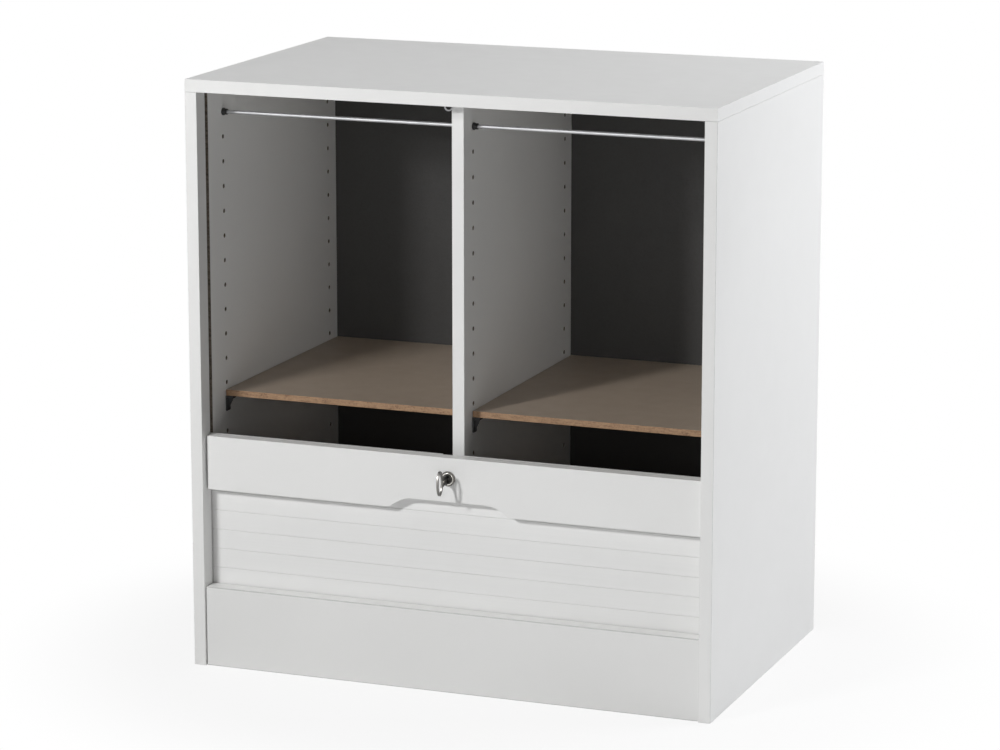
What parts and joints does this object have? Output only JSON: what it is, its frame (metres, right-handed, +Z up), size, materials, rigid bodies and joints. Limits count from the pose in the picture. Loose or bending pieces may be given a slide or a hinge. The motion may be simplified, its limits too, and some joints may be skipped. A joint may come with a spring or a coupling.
{
  "type": "tambour door cabinet",
  "caption": "White board cabinet with shelves and hanging-file rods in two columns, closed by a slatted curtain that slides down into the base and locks at the top.",
  "frame": {"origin": "on the floor, under the middle of the overall box, key included", "axes": "+Z up, +Y towards the back, front faces -Y, +X to the right seen from the front"},
  "size_m": [0.7, 0.472, 0.762],
  "materials": {
    "melamine": "white melamine facing on chipboard, satin",
    "slat_plastic": "white extruded slats, satin",
    "shelf_board": "thin brown fibre board with a raw front edge",
    "back_board": "dark hardboard",
    "chrome": "bright wire",
    "nickel": "nickel plate",
    "steel": "zinc plated",
    "support_nylon": "moulded black nylon",
    "black_plastic": "moulded black plastic"
  },
  "bodies": {
    "carcass": {"top_panel": "melamine", "left_side": "melamine", "right_side": "melamine", "divider": "melamine", "floor_panel": "melamine", "plinth": "melamine", "rear_stretcher": "melamine", "back_panel": "back_board", "left_upper_shelf": "shelf_board", "left_upper_shelf_support_inner_front": "support_nylon", "left_upper_shelf_support_inner_rear": "support_nylon", "left_upper_shelf_support_outer_front": "support_nylon", "left_upper_shelf_support_outer_rear": "support_nylon", "left_lower_shelf": "shelf_board", "left_lower_shelf_support_inner_front": "support_nylon", "left_lower_shelf_support_inner_rear": "support_nylon", "left_lower_shelf_support_outer_front": "support_nylon", "left_lower_shelf_support_outer_rear": "support_nylon", "left_front_rod": "chrome", "left_front_rod_holder_inner": "black_plastic", "left_front_rod_holder_outer": "black_plastic", "left_rear_rod": "chrome", "left_rear_rod_holder_inner": "black_plastic", "left_rear_rod_holder_outer": "black_plastic", "right_upper_shelf": "shelf_board", "right_upper_shelf_support_inner_front": "support_nylon", "right_upper_shelf_support_inner_rear": "support_nylon", "right_upper_shelf_support_outer_front": "support_nylon", "right_upper_shelf_support_outer_rear": "support_nylon", "right_lower_shelf": "shelf_board", "right_lower_shelf_support_inner_front": "support_nylon", "right_lower_shelf_support_inner_rear": "support_nylon", "right_lower_shelf_support_outer_front": "support_nylon", "right_lower_shelf_support_outer_rear": "support_nylon", "right_front_rod": "chrome", "right_front_rod_holder_inner": "black_plastic", "right_front_rod_holder_outer": "black_plastic", "right_rear_rod": "chrome", "right_rear_rod_holder_inner": "black_plastic", "right_rear_rod_holder_outer": "black_plastic", "keeper": "chrome", "stowed_curtain": "slat_plastic"},
    "curtain": {"front_rail": "melamine", "carrier_slat": "slat_plastic", "slat_1": "slat_plastic", "slat_2": "slat_plastic", "slat_3": "slat_plastic", "slat_4": "slat_plastic", "rail_screw_1": "steel", "rail_screw_2": "steel", "rail_screw_3": "steel", "lock_housing": "nickel", "lock_nut": "nickel"},
    "lock_barrel": {"lock_plug": "nickel", "hook_cam": "steel", "cam_screw": "steel"},
    "key": {"key": "nickel"}
  },
  "joints": [
    {"name": "curtain_slide", "type": "slide", "parent": "carcass", "child": "curtain", "axis": [0, 0, 1], "range_m": [-0.098, 0.4425], "deforming": ["stowed_curtain"]},
    {"name": "lock_turn", "type": "hinge", "parent": "curtain", "child": "lock_barrel", "pos_m": [0, -0.199, 0.2765], "axis": [0, 1, 0], "range_deg": [0, 90]},
    {"name": "key_pull", "type": "slide", "parent": "lock_barrel", "child": "key", "axis": [0, -1, 0], "range_m": [0, 0.018]}
  ]
}
